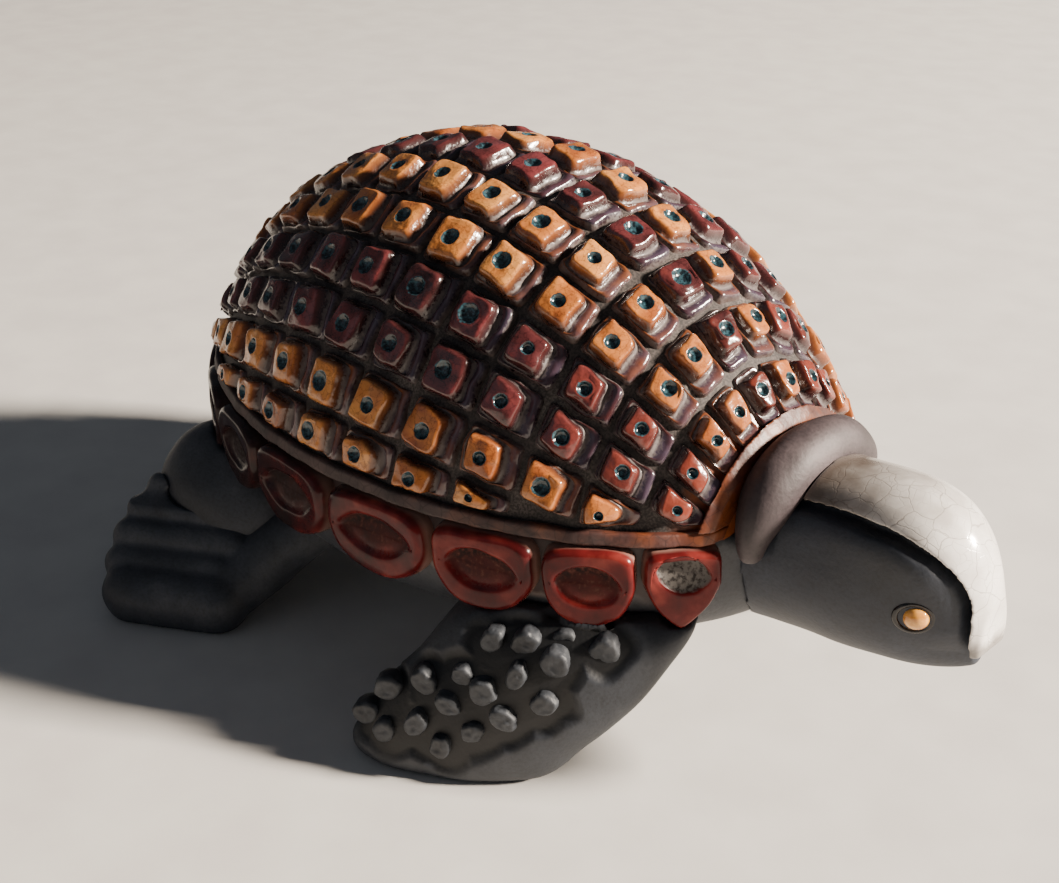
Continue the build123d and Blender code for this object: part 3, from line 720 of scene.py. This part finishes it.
head_clay = smoked_clay("smoked_head_clay", "1B2029", "282E39", "3E444F", 22 * MM, 9.0)[0]
head = clay_skin("head", head_skin, 5)
knead(head, head_unevenness, head_marks, 12)
for vert in head.verts:
    if vert.co.x > crown_line[0].x:
        off = below_crown(vert.co)
        ahead = min(1.0, (vert.co.x - crown_line[0].x) / groove_opens)
        fade = min(1.0, max(0.0, (vert.co.z - crown_line[-1].y) / chin_fade))
        from_eye = ((vert.co.x - eye_at.x) ** 2 + (vert.co.z - eye_at.z) ** 2) / eye_clearance ** 2
        cut = (groove_start + groove_gain * ahead) * exp(-((off - groove_at) / groove_width) ** 2)
        ridge_width = ridge_above if off < ridge_at else ridge_below
        ridge = ridge_height * exp(-((off - ridge_at) / ridge_width) ** 2) * (1 - exp(-from_eye))
        vert.co += vert.normal * (ridge - cut) * fade
fix("head_and_neck", head, head_clay, "smoked_clay", "head")

# Crown: a thick coat of white glaze over the top of the head, built up to an edge. It crazed as it
# cooled, and the smoke drew grey lines into the cracks: a few long ones with a finer net between.
# Towards the neck and at the tip of the beak the smoke browned the white.
crown_skin = 0.24 * MM
edge_band = 2.5 * MM
edge_tuck = 0.06
neck_smoke_from = front_edge + 15 * MM
neck_smoke_to = front_edge + 37 * MM
beak_level = (36.4 * MM, 38.4 * MM)
crown_glaze, tree, surface, place = new_material("white_crackle_glaze")
wander = add_node(tree, "TexNoise", sockets={"Vector": place, "Scale": 1 / (4 * MM), "Detail": 3.0})
bent = add_node(tree, "Mix", bent_by, {0: 1.2 * MM, 6: place, 7: wander.outputs[1]})
long_cracks = add_node(tree, "TexVoronoi", cell_edges, {"Vector": bent.outputs[2], "Scale": 1 / (4.6 * MM)})
net = add_node(tree, "TexVoronoi", cell_edges, {"Vector": bent.outputs[2], "Scale": 1 / (2.1 * MM)})
long_lines = add_node(tree, "MapRange", sockets={0: long_cracks.outputs[0], 1: 0.0, 2: 0.02, 3: 0.6, 4: 0.0})
net_lines = add_node(tree, "MapRange", sockets={0: net.outputs[0], 1: 0.0, 2: 0.035, 3: 0.4, 4: 0.0})
net_where = add_node(tree, "MapRange", sockets={0: wander.outputs[0], 1: 0.4, 2: 0.6})
net_seen = add_node(tree, "Math", times, {0: net_lines.outputs[0], 1: net_where.outputs[0]})
all_lines = add_node(tree, "Math", {"operation": "MAXIMUM"},
                     {0: long_lines.outputs[0], 1: net_seen.outputs[0]})
white = add_node(tree, "ValToRGB", sockets={0: wander.outputs[0]},
                 stops=((0.3, "DAD4CE"), (0.6, "EFEBE6")))
crazed = add_node(tree, "Mix", in_colour,
                  {0: all_lines.outputs[0], 6: white.outputs[0], 7: linear("7A716A")})
along = add_node(tree, "SeparateXYZ", sockets={0: place})
drifting = add_node(tree, "Math", times_plus, {0: wander.outputs[0], 1: 8 * MM, 2: along.outputs[0]})
neck_smoke = add_node(tree, "MapRange", sockets={0: drifting.outputs[0], 1: neck_smoke_from,
                                                 2: neck_smoke_to, 3: 0.96, 4: 0.0})
smoky = add_node(tree, "Mix", in_colour,
                 {0: neck_smoke.outputs[0], 6: crazed.outputs[2], 7: linear("52463D")})
low = add_node(tree, "Math", times_plus, {0: wander.outputs[0], 1: 4 * MM, 2: along.outputs[2]})
beak_soot = add_node(tree, "MapRange",
                     sockets={0: low.outputs[0], 1: beak_level[0], 2: beak_level[1], 3: 0.8, 4: 0.0})
shaded = add_node(tree, "Mix", in_colour,
                  {0: beak_soot.outputs[0], 6: smoky.outputs[2], 7: linear("5A534D")})
bump = add_node(tree, "Bump", {"invert": True},
                {"Strength": 0.2, "Distance": 0.15 * MM, "Height": all_lines.outputs[0]})
join(tree, surface, {"Base Color": shaded.outputs[2], "Normal": bump.outputs[0], "Roughness": 0.2,
                     "Coat Weight": 0.3, "Coat Roughness": 0.1})
crown = clay_skin("head_crown", crown_skin, 14)
for vert in crown.verts:
    near_edge = min(1.0, max(0.0, 1 + below_crown(vert.co) / edge_band))
    vert.co.y *= 1 - edge_tuck * near_edge
fix("crown", crown, crown_glaze, "crackle_white_glaze", "head_crown")

# Collar: a roll of clay bent over the neck where it enters the shell, burnished with a spoon to a
# dull shine and smoked grey-brown.
collar_skin = 0.45 * MM
collar_unevenness = 0.3 * MM
collar_marks = 7 * MM
collar_clay = smoked_clay("burnished_collar_clay", "272022", "3A3134", "574C4E", 12 * MM, 2.0)[0]
collar = clay_skin("neck_collar", collar_skin, 4)
knead(collar, collar_unevenness, collar_marks, 4)
fix("collar", collar, collar_clay, "collar_clay", "neck_collar")

# Eyes: an amber bead of glaze set in a socket of black glaze with a raised oval edge.
# Both are glossy; the bead is streaked like honey and the socket smeared with soot.
bead_radius = 1.95 * MM
bead_oval = (1.0, 0.95, 0.72)
bead_ahead = 0.35 * MM
bead_rise = 0.1 * MM
socket_radius = 2.5 * MM
socket_edge = 0.42 * MM
socket_oval = (1.12, 0.94, 1.0)
socket_sink = 0.35 * MM
eye_amber, tree, surface, place = new_material("amber_eye_glaze")
streaks = add_node(tree, "TexNoise", sockets={"Vector": place, "Scale": 1 / (1.6 * MM), "Detail": 3.0})
honey = add_node(tree, "ValToRGB", sockets={0: streaks.outputs[0]},
                 stops=((0.35, "C07A30"), (0.6, "E2A552")))
join(tree, surface, {"Base Color": honey.outputs[0], "Roughness": 0.08, "Coat Weight": 0.6})
eye_black, tree, surface, place = new_material("black_socket_glaze")
smears = add_node(tree, "TexNoise", sockets={"Vector": place, "Scale": 1 / (1.2 * MM), "Detail": 3.0})
jet = add_node(tree, "ValToRGB", sockets={0: smears.outputs[0]}, stops=((0.4, "0B0B0D"), (0.75, "2A2624")))
join(tree, surface, {"Base Color": jet.outputs[0], "Roughness": 0.15})
for side in ("right", "left"):
    rim = numpy.array([vert.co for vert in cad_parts[f"{side}_eye_ring"].data.vertices])
    seat = Vector((rim.min(0) + rim.max(0)) / 2)
    out = Vector(numpy.linalg.svd(rim - rim.mean(0), full_matrices=False)[2][2])
    out = out if out.y * seat.y > 0 else -out
    ahead = (Vector((1, 0, 0)) - out * out.x).normalized()
    turned = Matrix((ahead, out.cross(ahead), out)).transposed().to_4x4()
    turned.translation = seat - out * socket_sink
    socket = bmesh.new()
    upright = Matrix.Translation((socket_radius, 0, 0)) @ Matrix.Rotation(pi / 2, 4, "X")
    bmesh.ops.create_circle(socket, cap_ends=True, segments=20, radius=socket_edge, matrix=upright)
    bmesh.ops.delete(socket, geom=socket.faces, context="FACES_ONLY")
    bmesh.ops.spin(socket, geom=socket.verts[:] + socket.edges[:], cent=(0, 0, 0), axis=(0, 0, 1),
                   angle=2 * pi, steps=48, use_merge=True)
    bmesh.ops.create_circle(socket, cap_ends=True, segments=48, radius=socket_radius)
    bmesh.ops.recalc_face_normals(socket, faces=socket.faces)
    bmesh.ops.scale(socket, vec=socket_oval, verts=socket.verts)
    bmesh.ops.transform(socket, matrix=turned, verts=socket.verts)
    fix(f"{side}_eye_socket", socket, eye_black, "eye_black_glaze", f"{side}_eye_ring")
    bead = bmesh.new()
    bmesh.ops.create_uvsphere(bead, u_segments=40, v_segments=24, radius=bead_radius)
    bmesh.ops.scale(bead, vec=bead_oval, verts=bead.verts)
    bmesh.ops.translate(bead, vec=(bead_ahead, 0, bead_rise), verts=bead.verts)
    bmesh.ops.transform(bead, matrix=turned, verts=bead.verts)
    fix(f"{side}_eye", bead, eye_amber, "eye_amber_glaze", f"{side}_eye_bead")

# Front flippers: flat paddles of bare smoked clay with a smooth border along the front and the foot.
# The field inside was scraped hollow and is painted much darker, as painted shade between the pellets,
# and pellets of clay were pinched and pressed into it while wet, so each is a squat lump with a torn
# edge and a thumbed top.
flipper_skin = 0.5 * MM
flipper_unevenness = 0.35 * MM
flipper_marks = 8 * MM
flipper_facing = radians(32)
foot_border = 1.5 * MM
field_reach = 6.0 * MM
field_tear = 1.4 * MM
tear_marks = 4.5 * MM
field_slope = 1.6 * MM
field_depth = 1.1 * MM
pellet_radius = 2.5 * MM
pellet_sink = 1.6 * MM
pellet_gap = 2.4 * MM
flipper_clay, tree, surface, place, bare = smoked_clay(
    "smoked_flipper_clay", "1E222A", "2E3239", "474A50", 16 * MM, 14.0)
# Painted shade: the scraped field is darkened to stand for the shade between the pellets
field_shade_mask = add_node(tree, "Attribute", {"attribute_name": "field_shade"}).outputs["Fac"]
shade_painted_field = add_node(tree, "Mix", multiplied, {0: field_shade_mask, 6: bare.outputs[2], 7: linear("454A53")})
join(tree, surface, {"Base Color": shade_painted_field.outputs[2]})
pellet_clay = smoked_clay("torn_pellet_clay", "22252B", "33373D", "4E5156", 5 * MM, 17.0)[0]
for side in ("right", "left"):
    bm = cad_mesh(f"{side}_front_flipper_pebbles")
    centres = [(centre, max((corner - centre).length for corner in corners))
               for _, corners, centre in islands(bm)]
    bm.free()
    centres.sort(key=lambda item: tuple(item[0]))
    flipper = clay_skin(f"{side}_front_flipper", flipper_skin, 4)
    field_shade = flipper.verts.layers.float.new("field_shade")
    for vert in flipper.verts:
        if vert.normal.y * vert.co.y > 0 and vert.co.z > foot_border:
            nearest = min((vert.co - centre).length for centre, _ in centres)
            torn = field_reach + field_tear * noise.noise(vert.co / tear_marks)
            scraped = min(1.0, max(0.0, (torn - nearest) / field_slope))
            vert[field_shade] = scraped
            vert.co -= vert.normal * field_depth * scraped
    knead(flipper, flipper_unevenness, flipper_marks, 21)
    fix(f"{side}_flipper", flipper, flipper_clay, "smoked_clay", f"{side}_front_flipper")
    pellets = bmesh.new()
    pellet_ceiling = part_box(f"{side}_marginal_scutes")[0].z - pellet_gap
    sideward = cos(flipper_facing) if side == "left" else -cos(flipper_facing)
    away = Vector((sin(flipper_facing), sideward, 0))
    to_face = away.to_track_quat("Z", "Y").to_matrix().to_4x4()
    for centre, reach in centres:
        lowered = Vector((0, 0, min(0.0, pellet_ceiling - centre.z)))
        turn = Matrix.Rotation(chance.uniform(0, 2 * pi), 4, away)
        lump = bmesh.ops.create_icosphere(pellets, subdivisions=4, radius=1)["verts"]
        stretch = chance.uniform(0.7, 0.95)
        seed = Vector((chance.uniform(0, 50), 0, 0))
        for vert in lump:
            unit = vert.co.normalized()
            flat = Vector((unit.x, unit.y, 0))
            boxy = (flat.length ** 3 + abs(unit.z) ** 3) ** (-1 / 3)
            pinched = 1 + 0.18 * noise.noise(flat * 1.4 + seed) + 0.06 * noise.noise(unit * 4 + seed)
            thumbed = 0.22 * max(0.0, 1 - (flat.length / 0.75) ** 2) * (0.8 + noise.noise(unit * 2 + seed))
            height = unit.z * boxy * 0.6 - thumbed if unit.z > 0 else unit.z * boxy * 1.4
            shaped = Vector((unit.x * boxy * stretch * pinched, unit.y * boxy * pinched, height))
            vert.co = shaped * min(reach * 0.98, pellet_radius)
        seated = Matrix.Translation(centre + lowered - away * pellet_sink)
        bmesh.ops.transform(pellets, matrix=seated @ turn @ to_face, verts=lump)
    fix(f"{side}_pellets", pellets, pellet_clay, "smoked_clay", f"{side}_front_flipper_pebbles")

# Haunches and hind flippers: a rounded thigh pressed under the body and pulled forward into the
# ankle, and a fan of rolled toes laid side by side and smoothed together, all in bare smoked clay.
haunch_skin = 0.7 * MM
haunch_unevenness = 0.4 * MM
haunch_marks = 9 * MM
thigh_pull = 0.45
thigh_drop = 0.35
toe_skin = 0.5 * MM
toe_unevenness = 0.35 * MM
toe_marks = 6 * MM
ankle_level = 19 * MM
haunch_clay = smoked_clay("smoked_haunch_clay", "24272D", "363A42", "4F5157", 20 * MM, 23.0)[0]
toe_clay = smoked_clay("smoked_toe_clay", "262930", "3A3E46", "56585D", 12 * MM, 27.0)[0]
for side in ("right", "left"):
    haunch = clay_skin(f"{side}_haunch", haunch_skin, 3)
    low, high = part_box(f"{side}_haunch")
    for vert in haunch.verts:
        pulled = thigh_pull * max(0.0, vert.co.x - (low.x + high.x) / 2)
        vert.co += Vector((pulled, 0, -thigh_drop * pulled))
        vert.co.z = max(vert.co.z, 0)
    knead(haunch, haunch_unevenness, haunch_marks, 31)
    fix(f"{side}_thigh", haunch, haunch_clay, "smoked_clay", f"{side}_haunch")
    toes = clay_skin(f"{side}_hind_flipper", toe_skin, 3)
    rub(toes, [vert for vert in toes.verts if vert.co.z > ankle_level], 40)
    knead(toes, toe_unevenness, toe_marks, 37)
    fix(f"{side}_toes", toes, toe_clay, "smoked_clay", f"{side}_hind_flipper")

# Floor and light: a sheet of off-white card, a lamp well off to the right of the view and 27 degrees
# up, so that the shadow falls to the left as in the photograph, and a weak fill from the left.
card_half = 4.0
figure_middle = Vector((0, 0, 40 * MM))
floor_card, tree, surface, place = new_material("white_card")
# Clouds of fibre, about 17 mm across
fibres = add_node(tree, "TexNoise", sockets={"Vector": place, "Scale": 60.0, "Detail": 6.0})
paper = add_node(tree, "ValToRGB", sockets={0: fibres.outputs[0]},
                 stops=((0.35, "C4C1BE"), (0.65, "CCCAC6")))
join(tree, surface, {"Base Color": paper.outputs[0], "Roughness": 0.9})
card = bmesh.new()
bmesh.ops.create_grid(card, x_segments=1, y_segments=1, size=card_half)
card_mesh = bpy.data.meshes.new("floor")
card.to_mesh(card_mesh)
card.free()
card_mesh.materials.append(floor_card)
floor = bpy.data.objects.new("floor", card_mesh)
bpy.context.scene.collection.objects.link(floor)


def soft_lamp(name, where, power, size, colour):
    """A square lamp that faces the figure."""
    lamp = bpy.data.lights.new(name, "AREA")
    lamp.energy = power
    lamp.size = size
    lamp.color = linear(colour)[:3]
    holder = bpy.data.objects.new(name, lamp)
    holder.location = where
    holder.rotation_euler = (figure_middle - Vector(where)).to_track_quat("-Z", "Y").to_euler()
    bpy.context.scene.collection.objects.link(holder)


soft_lamp("key", (1.77, 1.18, 1.10), 350.0, 0.28, "FFF0DE")
soft_lamp("fill", (-0.2, -0.8, 0.45), 0.3, 0.7, "E4ECFF")
world = bpy.data.worlds.new("studio")
bpy.context.scene.world = world
world.use_nodes = True
sky = world.node_tree.nodes["Background"]
join(world.node_tree, sky, {"Color": linear("D0D8E4"), "Strength": 0.13})

# Camera: at the photograph's angle, 45 degrees ahead of the right side and 27 degrees above it.
turn = radians(45)
rise = radians(27)
back = Vector((sin(turn) * cos(rise), -cos(turn) * cos(rise), sin(rise)))
right = Vector((cos(turn), sin(turn), 0))
lens = bpy.data.cameras.new("camera")
lens.sensor_width = 36.0
lens.sensor_fit = "HORIZONTAL"
lens.lens = 51.0
lens.clip_start = 0.01
camera = bpy.data.objects.new("camera", lens)
camera.matrix_world = Matrix((right, back.cross(right), back)).transposed().to_4x4()
camera.location = (front_edge + 0.12037, -0.17929, 0.16220)
bpy.context.scene.collection.objects.link(camera)
bpy.context.scene.camera = camera
